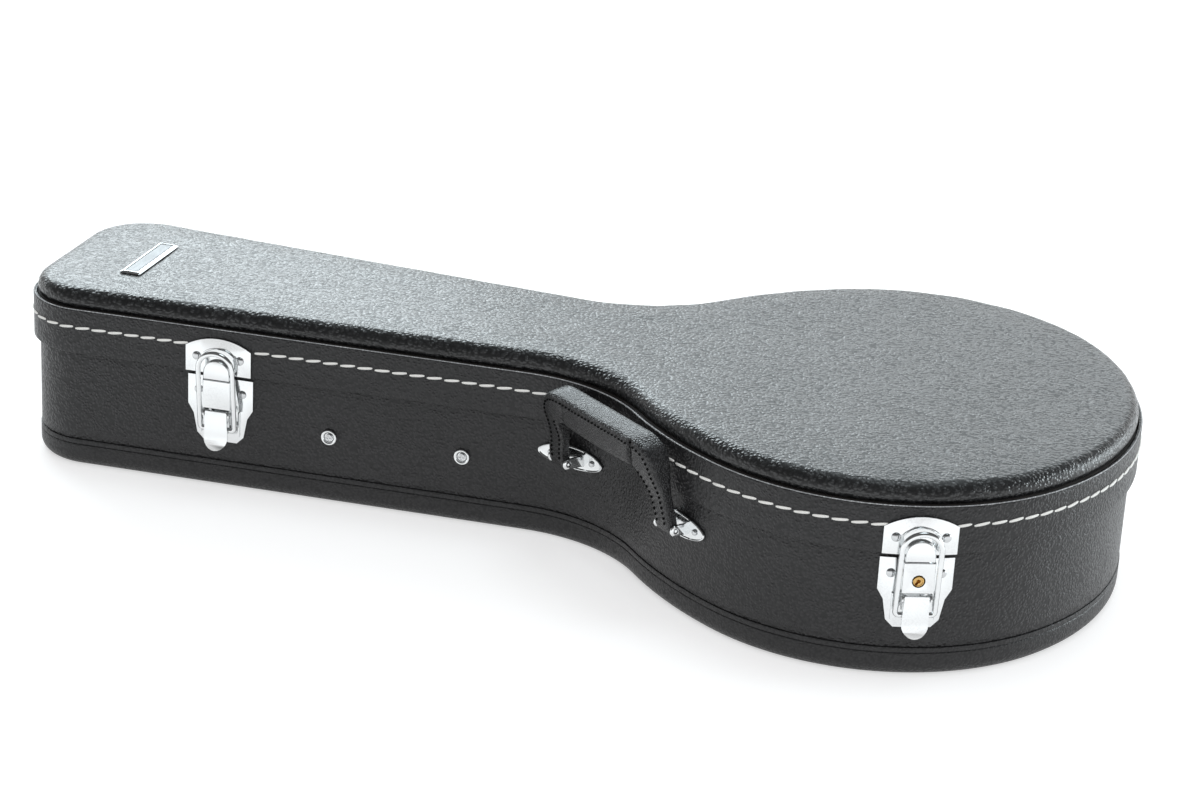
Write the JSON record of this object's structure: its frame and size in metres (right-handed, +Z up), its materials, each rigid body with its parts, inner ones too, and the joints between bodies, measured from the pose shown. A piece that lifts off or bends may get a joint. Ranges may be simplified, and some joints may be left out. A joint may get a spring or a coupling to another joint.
{
  "type": "mandolin case",
  "caption": "Shaped hard case for a mandolin, with an overhanging padded lid, a plush inside, draw latches and a swinging carrying handle.",
  "frame": {"origin": "on the underside of the floor, on the middle line, where the round body is widest", "axes": "+X from the head end towards the round tail, +Y towards the hinges, away from the latches and the handle, +Z up, through the lid"},
  "size_m": [0.722, 0.3491, 0.1265],
  "materials": {
    "vinyl": "black grained vinyl on bent plywood",
    "padded_vinyl": "padded grained vinyl",
    "binding": "black vinyl strip",
    "board": "bare plywood",
    "plush": "black plush",
    "leather": "stitched black leather",
    "chrome": "bright plating",
    "steel": "satin",
    "brass": "polished"
  },
  "bodies": {
    "base": {"base_wall": "vinyl", "body_cradle": "plush", "body_latch_plate": "chrome", "body_lever_pin": "steel", "body_plate_rivet_left": "steel", "body_plate_rivet_right": "steel", "bottom_binding": "binding", "bottom_panel": "vinyl", "floor_pad": "plush", "head_cup_washer": "chrome", "head_partition": "plush", "head_screw": "steel", "head_side_hinge_lower_leaf": "chrome", "head_side_hinge_pin": "steel", "left_bracket": "chrome", "left_bracket_rivet_inner": "steel", "left_bracket_rivet_outer": "steel", "left_handle_pin": "steel", "liner": "plush", "neck_latch_plate": "chrome", "neck_lever_pin": "steel", "neck_plate_rivet_left": "steel", "neck_plate_rivet_right": "steel", "neck_rest": "plush", "right_bracket": "chrome", "right_bracket_rivet_inner": "steel", "right_bracket_rivet_outer": "steel", "right_handle_pin": "steel", "tail_side_hinge_lower_leaf": "chrome", "tail_side_hinge_pin": "steel", "waist_cup_washer": "chrome", "waist_partition": "plush", "waist_screw": "steel"},
    "lid": {"body_keeper": "chrome", "body_keeper_rivet_left": "steel", "body_keeper_rivet_right": "steel", "head_side_hinge_upper_leaf": "chrome", "lid_band": "vinyl", "lid_board": "board", "lid_lining": "plush", "lid_top": "padded_vinyl", "lid_wall": "plush", "nameplate": "steel", "nameplate_frame": "chrome", "neck_keeper": "chrome", "neck_keeper_rivet_left": "steel", "neck_keeper_rivet_right": "steel", "tail_side_hinge_upper_leaf": "chrome"},
    "compartment_cover": {"compartment_lid": "plush", "pull_tab": "leather"},
    "handle": {"handle_grip": "leather"},
    "lock": {"body_lock": "brass"},
    "body_lever": {"body_lever": "chrome"},
    "body_bail": {"body_bail": "chrome"},
    "neck_lever": {"neck_lever": "chrome"},
    "neck_bail": {"neck_bail": "chrome"}
  },
  "joints": [
    {"name": "lid_open", "type": "hinge", "parent": "base", "child": "lid", "pos_m": [0, 0.1732, 0.0817], "axis": [-1, 0, 0], "range_deg": [0, 100]},
    {"name": "body_lever_swing", "type": "hinge", "parent": "base", "child": "body_lever", "pos_m": [0.05389, -0.16451, 0.056], "axis": [-0.9342, -0.3567, 0], "range_deg": [0, 120]},
    {"name": "body_bail_swing", "type": "hinge", "parent": "body_lever", "child": "body_bail", "pos_m": [0.05335, -0.16311, 0.0445], "axis": [-0.9342, -0.3567, 0], "range_deg": [-120, 0]},
    {"name": "neck_lever_swing", "type": "hinge", "parent": "base", "child": "neck_lever", "pos_m": [-0.42351, -0.07613, 0.056], "axis": [-0.9983, -0.0576, 0], "range_deg": [0, 120]},
    {"name": "neck_bail_swing", "type": "hinge", "parent": "neck_lever", "child": "neck_bail", "pos_m": [-0.4236, -0.07463, 0.0445], "axis": [-0.9983, -0.0576, 0], "range_deg": [-120, 0]},
    {"name": "lock_turn", "type": "hinge", "parent": "base", "child": "lock", "pos_m": [0.05264, -0.16124, 0.067], "axis": [0.3567, -0.9342, 0], "range_deg": [0, 90]},
    {"name": "handle_swing", "type": "hinge", "parent": "base", "child": "handle", "pos_m": [-0.14948, -0.10169, 0.0605], "axis": [0.7924, -0.61, 0], "range_deg": [0, 150]},
    {"name": "compartment_lid_open", "type": "hinge", "parent": "base", "child": "compartment_cover", "pos_m": [-0.3536, 0, 0.0559], "axis": [0, -1, 0], "range_deg": [0, 20]}
  ],
  "couplings": [
    {"joint": "body_bail_swing", "follows": "body_lever_swing", "ratio": -1},
    {"joint": "neck_bail_swing", "follows": "neck_lever_swing", "ratio": -1}
  ]
}
